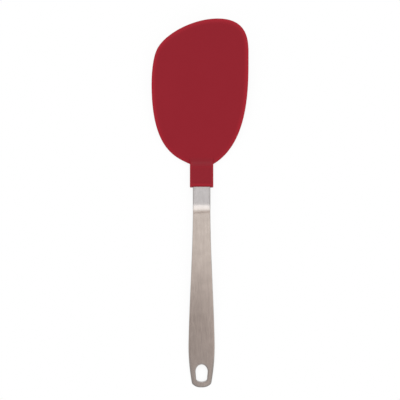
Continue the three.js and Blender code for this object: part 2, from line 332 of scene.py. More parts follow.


# %% The silicone finish
# The third red is painted light: the glow of the thin rim and the highlights on the collar's sides and lip.
red_deep = (0.255, 0.0070, 0.0170, 1.0)
red_light = (0.275, 0.0087, 0.0192, 1.0)
red_rim_glow = (0.385, 0.0118, 0.0254, 1.0)
matte, grain_share, ramp_shine = 0.62, 0.12, 0.22
silicone, pen, shader = new_finish("red_silicone_finish", IOR=1.41, Specular_IOR_Level=0.3)
place = pen.node("ShaderNodeTexCoord", out="Object")
cloud = noise(pen, place, scale=28.0, detail=3.0)
grain = noise(pen, place, scale=2600.0, detail=3.0, rough=0.6)
face_red = mixed(pen, cloud, red_deep, red_light)
feed(
    pen,
    shader,
    Base_Color=mixed(pen, marked(pen, "rim"), face_red, red_rim_glow),
    Roughness=matte + grain_share * (grain - 0.5) - ramp_shine * marked(pen, "ramp"),
    Normal=bumped(pen, grain, depth=0.00005, strength=0.5),
)
print("silicone finish has", len(silicone.node_tree.nodes), "nodes")

# %% [markdown]
# ## Brushed steel
# The handle was brushed along its length. Each scratch is a tiny groove: it blurs reflections across the strip and
# leaves them sharp along it. The shader's anisotropy could do that, but the grooves of a real strip also show as
# lines. So noise that is stretched lengthwise gives the grooves as bump, and more of it varies the tone: fine
# streaks, broad bands, short smears and soft blotches. Where the strip was cut and filed it is duller, and there
# its colour is also darkened, which is painted shade on the rounded edges; an attribute of the piece says where.


# %% The steel finishes
def drawn_out(pen, place, stretch):
    """Places that draw a pattern out along y."""
    return pen.node("ShaderNodeMapping", sockets={"Vector": place, "Scale": (1.0, stretch, 1.0)})


def steel_finish(name, dark, light, gloss, stretch, groove_depth):
    """A metal with grooves that run along y."""
    finish, pen, shader = new_finish(name, Metallic=1.0)
    place = pen.node("ShaderNodeTexCoord", out="Object")
    lengthwise = drawn_out(pen, place, stretch)
    groove = noise(pen, lengthwise, scale=5200.0, rough=0.55)
    streak = noise(pen, lengthwise, scale=900.0, detail=4.0, rough=0.65)
    band = noise(pen, lengthwise, scale=260.0)
    smear = noise(pen, drawn_out(pen, place, smear_stretch), scale=750.0, rough=0.6)
    blotch = noise(pen, place, scale=130.0, detail=3.0)
    # The four shares add up to 1.
    tone = 0.27 * streak + 0.21 * band + 0.22 * smear + 0.3 * blotch
    # The cut-edge mark dulls the steel and darkens its colour: the darker colour is painted shade of the rounded
    # edges.
    dull = marked(pen, "dull_edge")
    feed(
        pen,
        shader,
        Base_Color=mixed(pen, edge_shade_share * dull, mixed(pen, tone, dark, light), dull_shaded_steel),
        Roughness=gloss + streak_blur * (streak - 0.5) + groove_blur * (groove - 0.5) + dull_blur * dull,
        Normal=bumped(pen, groove, groove_depth, strength=1.0),
    )
    print(name, "has", len(finish.node_tree.nodes), "nodes")
    return finish


smear_stretch, streak_blur, groove_blur = 0.14, 0.1, 0.05
# Painted shade: the dark colour and its share at the cut edges. The blur is their real dullness.
dull_shaded_steel, edge_shade_share, dull_blur = (0.22, 0.21, 0.205, 1.0), 0.5, 0.1
brushed_steel = steel_finish(
    "brushed_steel_finish",
    dark=(0.36, 0.336, 0.319, 1.0),
    light=(0.84, 0.795, 0.763, 1.0),
    gloss=0.2,
    stretch=0.008,
    groove_depth=0.00001,
)
spring_steel = steel_finish(
    "spring_steel_finish",
    dark=(0.30, 0.31, 0.33, 1.0),
    light=(0.46, 0.47, 0.48, 1.0),
    gloss=0.32,
    stretch=0.05,
    groove_depth=0.000006,
)
rivet_steel = steel_finish(
    "rivet_steel_finish",
    dark=(0.44, 0.44, 0.44, 1.0),
    light=(0.58, 0.58, 0.57, 1.0),
    gloss=0.28,
    stretch=0.6,
    groove_depth=0.000004,
)

# %% [markdown]
# ## Blanks
# A stamped blank is an outline, perhaps with holes, and two faces whose height changes near the
# edges. A box with bevels and booleans could be cut to it, but a bevel along a freely curved edge
# comes out uneven. Here the points are laid in rings along the edges and in rows inside. A
# constrained Delaunay triangulation joins them without crossing a ring, then the faces get their
# heights and a wall closes them all round.


# %% Helpers for outlines
def smoothstep(value, low, high):
    share = np.clip((value - low) / (high - low), 0.0, 1.0)
    return share * share * (3.0 - 2.0 * share)


def round_drop(distance, radius):
    """How far a rounded edge lies under its face, at a distance in from the edge."""
    inner = radius - np.clip(distance, 0.0, radius)
    return radius - np.sqrt(np.maximum(radius * radius - inner * inner, 0.0))


def edge_steps(radius, count):
    """Distances in from a rounded edge, at even angles."""
    return radius * (1.0 - np.cos(np.linspace(0.0, math.pi / 2, count)))


def inset(path, distance, closed=True, sharpest=0.4):
    """A path moved to its left, which is inwards for an anticlockwise outline."""
    after = np.roll(path, -1, 0) - path
    before = path - np.roll(path, 1, 0)
    if not closed:
        after[-1], before[0] = before[-1], after[0]
    left = [np.stack((-way[:, 1], way[:, 0]), 1) for way in (before, after)]
    left = [way / np.linalg.norm(way, axis=1, keepdims=True) for way in left]
    middle = left[0] + left[1]
    middle /= np.linalg.norm(middle, axis=1, keepdims=True)
    reach = distance / np.maximum((middle * left[0]).sum(1, keepdims=True), sharpest)
    return path + middle * reach


def distance_to(points, path, closed=True):
    """The distance of each point from a path."""
    ends = np.roll(path, -1, 0) if closed else path[1:]
    starts = path if closed else path[:-1]
    nearest = np.full(len(points), np.inf)
    for start, way in zip(starts, ends - starts):
        along = np.clip(((points - start) @ way) / (way @ way), 0.0, 1.0)
        gap = points - start - along[:, None] * way
        nearest = np.minimum(nearest, np.hypot(gap[:, 0], gap[:, 1]))
    return nearest


def within(points, loop):
    """Which points lie inside a closed outline."""
    odd = np.zeros(len(points), bool)
    for (ax, ay), (bx, by) in zip(loop, np.roll(loop, -1, 0)):
        if ay != by:
            crosses = (points[:, 1] < ay) != (points[:, 1] < by)
            odd ^= crosses & (points[:, 0] < ax + (points[:, 1] - ay) * (bx - ax) / (by - ay))
    return odd


def bezier(*knots, count=12):
    """Points on a curve between the first and last of its knots, without the last."""
    share = np.linspace(0.0, 1.0, count, endpoint=False)[:, None]
    degree = len(knots) - 1
    return sum(
        math.comb(degree, i) * (1 - share) ** (degree - i) * share**i * np.array(knot, float)
        for i, knot in enumerate(knots)
    )


def rounded_corner(before, corner, after, reach, count=8):
    """A soft corner between two points that lead to it and away from it."""
    before, corner, after = (np.array(p, float) for p in (before, corner, after))
    start = corner + (before - corner) * reach / np.linalg.norm(before - corner)
    end = corner + (after - corner) * reach / np.linalg.norm(after - corner)
    return np.concatenate((bezier(start, corner, end, count=count), [end]))


# %% Helpers for the points inside
def grid_of(columns, rows):
    """A point wherever a column meets a row."""
    return np.stack(np.meshgrid(columns, rows), -1).reshape(-1, 2)


def clear_of(loose, fenced, gap):
    """The loose points that keep a gap from all fenced points."""
    nearest = np.full(len(loose), np.inf)
    for point in fenced:
        nearest = np.minimum(nearest, np.hypot(*(loose - point).T))
    return loose[nearest > gap]


# %% Helpers that join flat points and give them thickness
def tile(paths, loose, outline, holes=()):
    """Joins points into triangles. Paths are (points, closed) and no triangle crosses them."""
    points, fences = [], []
    for path, closed in paths:
        first, count = len(points), len(path)
        points += [tuple(p) for p in path]
        last = count if closed else count - 1
        fences += [(first + i, first + (i + 1) % count) for i in range(last)]
    points = np.array(points + [tuple(p) for p in loose])
    laid = [Vector(p) for p in points]
    _, _, faces, sources, _, _ = delaunay_2d_cdt(laid, fences, [], 0, 1e-6)
    source = np.array([s[0] for s in sources])
    faces = np.array(faces)
    middle = points[source][faces].mean(axis=1)
    kept = within(middle, outline)
    for hole in holes:
        kept &= ~within(middle, hole)
    faces = source[faces[kept]]
    a, b, c = (points[faces[:, i]] for i in range(3))
    way = (b - a)[:, 0] * (c - a)[:, 1] - (b - a)[:, 1] * (c - a)[:, 0]
    faces[way < 0] = faces[way < 0][:, ::-1]
    return points, faces


def new_piece(name, places, faces, crease):
    """A mesh object that is smooth except at edges sharper than a crease, in degrees."""
    mesh = bpy.data.meshes.new(name)
    mesh.from_pydata(places, [], faces)
    mesh.shade_smooth()
    mesh.set_sharp_from_angle(angle=math.radians(crease))
    made = bpy.data.objects.new(name, mesh)
    scene.collection.objects.link(made)
    return made


def sheet(name, points, faces, top, bottom, crease=35.0):
    """A closed sheet from its tiled points, with a top and a bottom height for each."""
    used = np.unique(faces)
    renumber = np.zeros(len(points), int)
    renumber[used] = np.arange(len(used))
    upper, count = renumber[faces], len(used)
    edges = {(int(f[i]), int(f[(i + 1) % 3])) for f in upper for i in range(3)}
    rim_edges = [(a, b) for a, b in edges if (b, a) not in edges]
    walls = [(a + count, b + count, b, a) for a, b in sorted(rim_edges)]
    levels = [np.column_stack((points[used], level[used])) for level in (top, bottom)]
    every_face = [*upper.tolist(), *(upper[:, ::-1] + count).tolist(), *walls]
    return new_piece(name, np.concatenate(levels).tolist(), every_face, crease)


# %% [markdown]
# ## The handle
# The handle is one strip, 2.5 mm thick: narrow at the neck, widening along the grip and closing to
# a round end with the hanging slot. It could be a box with modifiers, but the slot's rounded rim
# and the slow taper come out cleaner from the blank. Its edges are rounded by rings of points.

# %% The handle's width along the strip
handle_bottom, handle_top = 0.55, 3.05
neck_width, grip_width, end_width = 15.15, 23.1, 16.6
flare_start, flare_length = neck_bend_start + 2.0, 135.7
taper_length, cap_depth, cap_fullness, end_trim = 36.4, 3.25, 2.6, 0.18
tang_tip = root_bend_end + 0.2
end_corner = handle_end - cap_depth
handle_edge, slot_edge = 0.65, 0.5


def handle_half(station):
    """Half the handle's width."""
    flare = smoothstep(station, flare_start, flare_start + flare_length)
    taper = np.maximum(station - (end_corner - taper_length), 0.0) / taper_length
    width = neck_width + (grip_width - neck_width) * flare
    return (width - (grip_width - end_width) * taper * taper) / 2


print("half widths:", [handle_half(s).round(2) for s in (collar_length, end_corner)])

# %% The handle's outline, with rows close together in the bend
row_step, bend_step, bend_lead, bend_tail = 1.25, 0.4, 2.0, 4.0
least_row_gap, corner_gap = 0.5, 1.6
bend_rows = np.arange(neck_bend_start - bend_lead, neck_bend_end + bend_tail, bend_step)
tang_rows = np.arange(tang_tip, bend_rows[0] - least_row_gap, row_step)
grip_rows = np.arange(bend_rows[-1] + 2 * bend_step, end_corner - corner_gap, row_step)
rows = np.concatenate((tang_rows, bend_rows, grip_rows))
right_side = np.column_stack((handle_half(rows), -rows))
cap_count, cut_back, corner_reach = 37, 7, 0.9
cap_share = np.sin(np.linspace(-math.pi / 2, math.pi / 2, cap_count))
cap_rise = cap_depth * np.abs(cap_share) ** cap_fullness
cap = np.column_stack((handle_half(end_corner) * cap_share, cap_rise - handle_end + end_trim))
soft_end = rounded_corner(cap[-cut_back], cap[-1], right_side[-1], corner_reach)
cap = np.concatenate((soft_end[::-1] * (-1, 1), cap[cut_back:-cut_back], soft_end))
handle_outline = np.concatenate((right_side * (-1, 1), cap, right_side[::-1]))
print("handle outline:", len(handle_outline), "points")

# %% The hanging slot
slot_width, slot_length, slot_rise, slot_low_width = 10.5, 15.33, 6.4, 9.5
slot_corner, slot_arch, slot_wall = 1.8, 1.2, 5.12
low_half = slot_low_width / 2
slot_turn = np.linspace(0.0, math.pi, 41)
slot_top = np.column_stack(
    (
        slot_width / 2 * np.cos(slot_turn),
        slot_length - slot_rise + slot_rise * np.sin(slot_turn),
    )
)
left_low = (-low_half, slot_arch + slot_corner)
left_toe = (slot_corner - low_half, slot_arch / 2)
right_toe = (low_half - slot_corner, slot_arch / 2)
right_low = (low_half, slot_arch + slot_corner)
slot_path = np.concatenate(
    (
        slot_top[:-1],
        bezier(slot_top[-1], left_low, count=10),
        bezier(left_low, (-low_half, slot_arch), left_toe, count=8),
        bezier(left_toe, (0.0, -slot_arch / 2), right_toe, count=12),
        bezier(right_toe, (low_half, slot_arch), right_low, count=8),
        bezier(right_low, slot_top[0], count=10),
    )
)
slot_path = slot_path + (0.0, -(handle_end - slot_wall))
print("slot from y", slot_path[:, 1].min().round(2), "to", slot_path[:, 1].max().round(2))

# %% [markdown]
# A pressed strip is never quite flat. It is a little crowned across, and where the bend ends the
# press has left a faint crease that runs a little slanted. A bump in the finish could hint at
# both, but they show only in what the steel reflects, and a bump blurs that. So they are given as
# small heights on the blank.


# %% The crown and the crease of the strip
crown, crown_start, crown_full = 0.13, collar_length + 2.0, collar_length + 12.0
crease_place, crease_length, crease_slant = neck_bend_end + 0.65, 0.9, 0.075
crease_tilt, crease_lean = 0.074, 0.2


def strip_rise(points):
    """How far the strip's faces lie off the flat, from the crown and the crease."""
    x, station = points[:, 0], -points[:, 1]
    share = x / handle_half(station)
    bowl = crown * share**2 * smoothstep(station, crown_start, crown_full)
    along = np.tanh((station + crease_slant * x - crease_place) / crease_length)
    step = crease_tilt * (1.0 + crease_lean * share) * crease_length * (1.0 + along)
    return -step - bowl


end_middle = np.array([(0.0, -handle_end)])
print(f"the crease lowers the hanging end by {-strip_rise(end_middle)[0]:.2f} mm")

# %% Rings round the handle's edges, columns along it and more of them at its end
edge_ring_count, slot_ring_count, ring_gap = 7, 6, 0.4
edge_rings = [inset(handle_outline, d) for d in edge_steps(handle_edge, edge_ring_count)]
slot_rings = [inset(slot_path, -d) for d in edge_steps(slot_edge, slot_ring_count)]
column_shares = np.linspace(-0.86, 0.86, 13)
end_columns, end_rows = range(-7, 8), np.linspace(-handle_end, -end_corner + 2.0, 41)
strip_points = np.concatenate(
    [np.column_stack((share * handle_half(rows), -rows)) for share in column_shares]
    + [np.column_stack((np.full(len(end_rows), x), end_rows)) for x in end_columns]
)
inner_edge = inset(handle_outline, handle_edge + ring_gap)
slot_guard = inset(slot_path, -slot_edge - ring_gap)
strip_points = strip_points[within(strip_points, inner_edge) & ~within(strip_points, slot_guard)]
print("handle plan:", len(edge_rings) + len(slot_rings), "rings,", len(strip_points), "points inside")

# %% Stamp the handle's blank
handle_points, handle_faces = tile(
    [(ring, True) for ring in edge_rings + slot_rings], strip_points, handle_outline, [slot_path]
)
drops = [
    np.full(len(ring), drop)
    for rings, radius in ((edge_rings, handle_edge), (slot_rings, slot_edge))
    for ring, drop in zip(rings, round_drop(edge_steps(radius, len(rings)), radius))
]
handle_drop = np.concatenate([*drops, np.zeros(len(strip_points))])
rise = strip_rise(handle_points)
handle = sheet(
    "turner_handle",
    handle_points,
    handle_faces,
    handle_top - handle_drop + rise,
    handle_bottom + handle_drop + rise,
)
print("handle stamped:", len(handle.data.polygons), "faces")

# %% [markdown]
# ## The spring leaf
# Inside the head lies a thin leaf of spring steel, with a tab that reaches back under the handle
# and a row of holes that the silicone fills and holds on by. Each hole could be a Boolean of its
# own, but they repeat along a path, so a geometry tree sets cylinders along that path and cuts
# them out at once.

# %% The blade's outline: five curves, each with the pull of its two ends
blade_length, root_half, collar_half, edge_growth = 126.17, 10.0, 10.12, 0.15
right_angle, left_angle, slant = math.radians(30.9), math.radians(26.85), math.radians(63.14)
right_reach, right_height, tip_offset = 40.07, 94.68, 13.73
shoulder_reach, shoulder_height, left_reach, left_height = 37.98, 100.1, 42.89, 68.74
right_root_pull, right_low_pull, right_high_pull = 37.29, 23.32, 11.23
tip_right_pull, tip_left_pull, shoulder_high_pull, shoulder_low_pull = 26.75, 21.17, 14.58, 10.71
left_high_pull, left_low_pull, left_root_pull = 3.21, 56.96, 12.6


def heading(angle):
    """A step of length 1 at an angle, and the same turned to its left."""
    return np.array((math.cos(angle), math.sin(angle))), np.array((-math.sin(angle), math.cos(angle)))


def blade_outline(margin, count=120):
    """The blade's edge drawn in by a margin, anticlockwise from the right of the collar."""
    pull = (right_reach - margin) / right_reach
    up, side = np.array((0.0, pull)), np.array((pull, 0.0))
    right_way, right_in = heading(right_angle)
    left_way, left_in = (way * (-1, 1) for way in heading(left_angle))
    slant_way, slant_out = heading(slant)
    right_root = np.array((root_half, 0.0)) + margin * right_in
    left_root = np.array((-root_half, 0.0)) + margin * left_in
    right = np.array((right_reach - margin, right_height))
    tip = np.array((tip_offset, blade_length - margin))
    shoulder = np.array((-shoulder_reach, shoulder_height)) - margin * slant_out
    left = np.array((margin - left_reach, left_height))
    from_right_root = right_root + pull * right_root_pull * right_way
    over_shoulder = shoulder + pull * shoulder_high_pull * slant_way
    under_shoulder = shoulder - pull * shoulder_low_pull * slant_way
    to_left_root = left_root + pull * left_root_pull * left_way
    curves = (
        (right_root, from_right_root, right - right_low_pull * up, right),
        (right, right + right_high_pull * up, tip + tip_right_pull * side, tip),
        (tip, tip - tip_left_pull * side, over_shoulder, shoulder),
        (shoulder, under_shoulder, left + left_high_pull * up, left),
        (left, left - left_low_pull * up, to_left_root, left_root),
    )
    return np.concatenate([bezier(*curve, count=count) for curve in curves] + [[left_root]])


def even_steps(path, step):
    """The same path with its points a step apart."""
    gaps = np.hypot(*np.diff(path, axis=0).T)
    along = np.concatenate(([0.0], np.cumsum(gaps)))
    wanted = np.linspace(0.0, along[-1], max(2, round(along[-1] / step) + 1))
    return np.column_stack([np.interp(wanted, along, path[:, i]) for i in range(2)])


whole_blade = blade_outline(0.0)
print("blade reaches from", whole_blade.min(0).round(1), "to", whole_blade.max(0).round(1))

# %% The tree that punches holes along a path
given = geometry_tree(
    "punch_row",
    [("Path", "Object"), ("Count", "Int"), ("Hole", "Float"), ("Lowest", "Float")],
)
path = {"Curve": curve_of(given, "Path"), "Count": given.also("Count")}
spots = given.node("GeometryNodeResampleCurve", {"mode": "COUNT"}, path)
spot_place = given.node("GeometryNodeInputPosition")
height = given.node("ShaderNodeSeparateXYZ", sockets={"Vector": spot_place}, out="Y")
high_enough = height.math("GREATER_THAN", height, given.also("Lowest"))
punch_sides, punch_depth = 42, 8.0
punch = given.node(
    "GeometryNodeMeshCylinder",
    sockets={"Vertices": punch_sides, "Radius": given.also("Hole") / 2.0, "Depth": punch_depth},
)
punches = given.node(
    "GeometryNodeInstanceOnPoints",
    sockets={"Points": spots, "Selection": high_enough, "Instance": punch},
)
punches = given.node("GeometryNodeRealizeInstances", sockets={"Geometry": punches})
punched = given.node(
    "GeometryNodeMeshBoolean",
    {"operation": "DIFFERENCE", "solver": "EXACT"},
    {"Mesh 1": given, "Mesh 2": punches},
)
punch_row = end_tree(given, punched)
print("punch_row has", len(punch_row.nodes), "nodes")

# %% Cut the leaf, punch it and keep a larger copy for the pocket
core_rim, core_half_thickness, tab_half = 10.0, 0.25, 6.0
tab_end, tab_step, tab_clear = collar_length - 0.85, 0.9, 0.3
leaf_step, leaf_margin = 2.0, 0.8
leaf_grid = grid_of(np.arange(-40, 41, 2.5), np.arange(-19, 126, 1.25))
hole_width, hole_inset, lowest_hole, hole_spots = 6.0, 9.0, 36.0, 12
hole_path = blade_outline(core_rim + hole_inset)
hole_line = lay_curve("hole_line", [(x, y, 0.0) for x, y in hole_path])


def spring_leaf(name, room):
    """The leaf in flat form, larger all round by some room."""
    plate = even_steps(blade_outline(core_rim - room), leaf_step)
    half, foot, toe_end = tab_half + room, plate[:, 1].min(), -tab_end - room
    plate = plate[(np.abs(plate[:, 0]) > half + tab_clear) | (plate[:, 1] > blade_length / 2)]
    tab_rows = np.arange(-tab_end, foot, tab_step)
    tab_rows[0] = toe_end
    right_tab = np.column_stack((np.full(len(tab_rows), half), tab_rows))
    left_tab = (right_tab * (-1, 1))[::-1]
    toe_columns = np.linspace(-half, half, 9)[1:-1]
    toe = np.column_stack((toe_columns, np.full(len(toe_columns), toe_end)))
    outline = np.concatenate((plate, left_tab, toe, right_tab))
    inside = leaf_grid[within(leaf_grid, inset(outline, leaf_margin))]
    points, faces = tile([(outline, True)], inside, outline)
    thick = np.full(len(points), core_half_thickness + room)
    leaf = sheet(name, points, faces, thick, -thick)
    values = {"Path": hole_line, "Count": hole_spots, "Lowest": lowest_hole, "Finish": spring_steel}
    shape_by(punch_row, leaf, {**values, "Hole": hole_width - 2 * room})
    print(name, "punched:", len(leaf.data.polygons), "faces")
    return leaf


pocket_room = 0.04
core = spring_leaf("spring_leaf", 0.0)
core_room = spring_leaf("core_room", pocket_room)

# %% [markdown]
# ## The rivets
# Two rivets hold the leaf under the handle's tang. They could be cylinders with bevelled ends, but
# a rivet is a turned part: a profile of radius and height is revolved once, and a geometry tree
# sets it twice along the tang. The tree that punched the leaf then makes the holes for them.


# %% Turn a rivet
def turned(name, profile, steps=40):
    """A mesh revolved from a profile that starts and ends on the axis."""
    turn = np.linspace(0.0, 2 * math.pi, steps, endpoint=False)
    ring = np.column_stack((np.cos(turn), np.sin(turn)))
    places = [(0.0, 0.0, profile[0][1])]
    for radius, height in profile[1:-1]:
        places += [(radius * c, radius * s, height) for c, s in ring]
    places.append((0.0, 0.0, profile[-1][1]))
    pairs = [(i, (i + 1) % steps) for i in range(steps)]
    faces = [(0, 1 + after, 1 + i) for i, after in pairs]
    for low in range(1, 1 + (len(profile) - 3) * steps, steps):
        high = low + steps
        faces += [(low + i, low + after, high + after, high + i) for i, after in pairs]
    last = len(places) - 1
    faces += [(last, last - steps + i, last - steps + after) for i, after in pairs]
    return new_piece(name, places, faces, crease=40.0)


rivet_width, rivet_head, rivet_dome = 4.0, 6.0, 0.7
rivet_low, rivet_high = -0.55, 3.35
rivet_pitch, first_rivet = 6.8, tang_tip + 3.4


def rivet_profile(room):
    """A shank with a low domed head at each end."""
    shank, head, rise = rivet_width / 2 + room, rivet_head / 2 + room, rivet_dome + room
    # How far each ring of the dome lies from the head's edge, and how high.
    dome = [(0.0, 0.3), (-0.06, 0.7 * rise), (-0.35, 0.86 * rise), (-head / 2, 0.97 * rise)]
    lower = [(head + r, rivet_low - h) for r, h in reversed(dome)]
    upper = [(head + r, rivet_high + h) for r, h in dome]
    return [
        (0.0, rivet_low - rise),
        *lower,
        (head, rivet_low + room),
        (shank, rivet_low + room),
        (shank, rivet_high - room),
        (head, rivet_high - room),
        *upper,
        (0.0, rivet_high + rise),
    ]


# %% Set it twice along the tang
given = geometry_tree("rivet_row", [("First", "Float"), ("Pitch", "Float"), ("Count", "Int")])
first = given.node("ShaderNodeCombineXYZ", sockets={"Y": given.also("First")})
pitch = given.node("ShaderNodeCombineXYZ", sockets={"Y": given.also("Pitch")})
seats = given.node(
    "GeometryNodeMeshLine",
    {"mode": "OFFSET"},
    {"Count": given.also("Count"), "Start Location": first, "Offset": pitch},
)
set_rivets = given.node(
    "GeometryNodeInstanceOnPoints", sockets={"Points": seats, "Instance": given}
)
rivet_row = end_tree(given, set_rivets)


def rivet_pair(name, room):
    """Both rivets, in flat form."""
    pair = turned(name, rivet_profile(room))
    values = {"First": -first_rivet, "Pitch": -rivet_pitch, "Count": 2, "Finish": rivet_steel}
    shape_by(rivet_row, pair, values)
    print(name, "set:", len(pair.data.polygons), "faces")
    return pair


rivets = rivet_pair("tang_rivets", 0.0)
rivet_room = rivet_pair("rivet_room", pocket_room)


# %% Punch their holes through the tang and the leaf
def merge_close(piece, near=0.0005):
    """Merges the points that a cut has left almost on each other."""
    shape = bmesh.new()
    shape.from_mesh(piece.data)
    bmesh.ops.dissolve_degenerate(shape, dist=near, edges=shape.edges)
    shape.to_mesh(piece.data)
    shape.free()


rivet_places = [(0.0, -first_rivet, 0.0), (0.0, -first_rivet - rivet_pitch, 0.0)]
rivet_line = lay_curve("rivet_line", rivet_places)
rivet_hole = rivet_width + 2 * pocket_room
for piece, finish in ((handle, brushed_steel), (core, spring_steel)):
    values = {"Path": rivet_line, "Count": 2, "Hole": rivet_hole, "Lowest": -handle_end}
    shape_by(punch_row, piece, {**values, "Finish": finish})
    merge_close(piece)
    piece.data.set_sharp_from_angle(angle=math.radians(35.0))
    print(piece.name, "has its rivet holes:", len(piece.data.polygons), "faces")

# %% [markdown]
# ## Cut edges
# A stamped strip is filed where it was cut, and there it stays duller than on its brushed faces: at the neck,
# round the end and in the slot. Its rounded edges also look darker there, and that shade is painted into the
# colour. The finish could work that out from the piece's place, but it doesn't know the outline. So each point
# keeps a number for the finish to read.


# %% Dull the handle's cut edges and paint shade on them
def mark_points(piece, label, values):
    """Keeps one number for each point of a piece."""
    mark = piece.data.attributes.new(label, "FLOAT", "POINT")
    mark.data.foreach_set("value", values.astype(np.float32))


neck_dull_shade_width, end_dull_shade_width, slot_dull_shade_width, end_dull_shade_gain = 1.3, 1.9, 1.5, 1.5
filed_from, filed_full = handle_end - 34.0, handle_end - 16.0
flat_strip = np.array([v.co[:2] for v in handle.data.vertices])
from_side, from_slot = (distance_to(flat_strip, cut) for cut in (handle_outline, slot_path))
filed_neck = 1.0 - smoothstep(-flat_strip[:, 1], neck_bend_start, neck_bend_end)
filed_end = smoothstep(-flat_strip[:, 1], filed_from, filed_full)
# Each mark dulls the edge and paints shade on it.
dull_shaded_neck = filed_neck * np.clip(1.0 - from_side / neck_dull_shade_width, 0.0, 1.0)
dull_shaded_end = filed_end * end_dull_shade_gain * np.clip(1.0 - from_side / end_dull_shade_width, 0.0, 1.0)
dull_shaded_slot = filed_end * np.clip(1.0 - from_slot / slot_dull_shade_width, 0.0, 1.0)
mark_points(handle, "dull_edge", np.maximum(dull_shaded_neck + dull_shaded_end, dull_shaded_slot))
print("dull edges marked on", len(flat_strip), "points")

# %% [markdown]
# ## The silicone head
# Blade and collar are one moulding. Seen from above, the collar is a straight block and the blade
# a lopsided paddle. They could be two meshes joined by a Boolean, but the soft foot between them
# would be lost. So the top and the bottom are two height maps over one plan: the blade thins
# towards its rim, and the collar stands above it with rounded edges and a ramp in front. The wall
# beside the ramp is steep, so two columns of points close together carry it.

# %% The head's levels
blade_face = 1.3
collar_top, collar_bottom = 5.25, -2.45
ramp_top, ramp_back, ramp_bottom, heel_sink = 6.3, 1.5, 5.0, 0.3
top_bevel, bottom_bevel, top_thin, bottom_thin = 4.5, 2.0, 0.72, 0.45
top_nose, bottom_nose = 0.45, 0.3
collar_round, heel_round, foot_round, lip_round, mouth_round = 1.5, 1.0, 0.6, 1.9, 0.7
mouth_at, mouth_zone, mouth_lean, lean_zone = collar_length + 0.7, 2.5, 0.13, 5.0
bead, bead_back, bead_width = 0.12, 0.8, 0.7


def block_on(face, crest, side, edge_round, foot):
    """The height of a round-edged block that stands on a face, at a distance beside its wall."""
    lift = np.maximum(crest - face, 0.0)
    edge = np.minimum(edge_round, lift / 2)
    toe = np.minimum(foot, lift / 2)
    inner = crest - edge + np.sqrt(np.maximum(edge**2 - np.clip(side + edge, 0.0, edge) ** 2, 0.0))
    outer = face + toe - np.sqrt(np.maximum(toe**2 - np.clip(toe - side, 0.0, toe) ** 2, 0.0))
    return np.where(side > 0.0, outer, np.maximum(inner, face))


def thinned(rim, bevel, thin, nose):
    """Half the blade's thickness, at a distance from its rim."""
    slope = np.clip(1.0 - rim / bevel, 0.0, 1.0) ** 2
    return blade_face - thin * slope - round_drop(rim, nose)


def head_heights(points, rim):
    """Top and bottom of the head, from each point's place and its distance from the blade's rim."""
    station, side = -points[:, 1], np.abs(points[:, 0]) - collar_half
    face = thinned(rim, top_bevel, top_thin, top_nose)
    back = thinned(rim, bottom_bevel, bottom_thin, bottom_nose)
    from_mouth = mouth_at - station
    crest = blade_face + (collar_top - blade_face) * smoothstep(station, -ramp_top, ramp_back)
    crest = crest + bead * np.exp(-(((from_mouth - lip_round - bead_back) / bead_width) ** 2))
    low = blade_face - heel_sink
    heel = low + (-collar_bottom - low) * smoothstep(station, -ramp_bottom, 0.0)
    raised = block_on(face, crest, side, collar_round, foot_round)
    top = np.where(station < -ramp_top, face, raised)
    raised = block_on(back, heel, side, heel_round, foot_round)
    bottom = np.where(station < -ramp_bottom, back, raised)
    top_edge = np.hypot(np.maximum(crest - top, 0.0), round_drop(from_mouth, lip_round))
    bottom_edge = np.hypot(np.maximum(heel - bottom, 0.0), round_drop(from_mouth, mouth_round))
    in_mouth = from_mouth < mouth_zone
    return np.where(in_mouth, crest - top_edge, top), -np.where(in_mouth, heel - bottom_edge, bottom)


# %% The head's plan
wall_gap, rim_step, lip_start = 0.03, 0.9, mouth_at - lip_round
corner_clear, corner_depth = 0.4, 20.0
# The blade's edge ends at the collar, so its points inside the collar's corners are left out.
edge_line = even_steps(blade_outline(-edge_growth), rim_step)[1:-1]
off_collar = (np.abs(edge_line[:, 0]) > collar_half + corner_clear) | (edge_line[:, 1] > corner_depth)
edge_line = edge_line[off_collar]
right_start = (collar_half + wall_gap, wall_gap * math.tan(right_angle))
left_end = (-collar_half - wall_gap, wall_gap * math.tan(left_angle))
edge_line = np.concatenate(([right_start], edge_line, [left_end]))
ramp_zone, ramp_step, flat_step, lip_zone, lip_step = 6.5, 0.4, 0.9, 2.4, 0.6
collar_rows = np.concatenate(
    (
        np.arange(0.0, ramp_zone, ramp_step),
        np.arange(ramp_zone, lip_start - lip_zone - lip_step, flat_step),
        lip_start - np.arange(lip_zone, -lip_step / 2, -lip_step),
    )
)
collar_left = np.column_stack((np.full(len(collar_rows), -collar_half), -collar_rows))
edge_columns = collar_half - edge_steps(collar_round, 8)[1:]
half_columns = np.concatenate((edge_columns, np.arange(8.0, 0.0, -1.0)))
inner_columns = np.concatenate((-half_columns, [0.0], half_columns[::-1]))
mouth_corner, mouth_reach = np.array((collar_half, -mouth_at)), 0.8
soft_mouth = rounded_corner((0.0, -mouth_at), mouth_corner, (collar_half, 0.0), mouth_reach)
mouth_columns = inner_columns[np.abs(inner_columns) < collar_half - mouth_reach - wall_gap]
mouth_line = np.column_stack((mouth_columns, np.full(len(mouth_columns), -mouth_at)))
collar_line = (collar_left, soft_mouth[::-1] * (-1, 1), mouth_line, soft_mouth)
head_outline = np.concatenate((edge_line, *collar_line, (collar_left * (-1, 1))[::-1]))
print("head outline:", len(head_outline), "points")

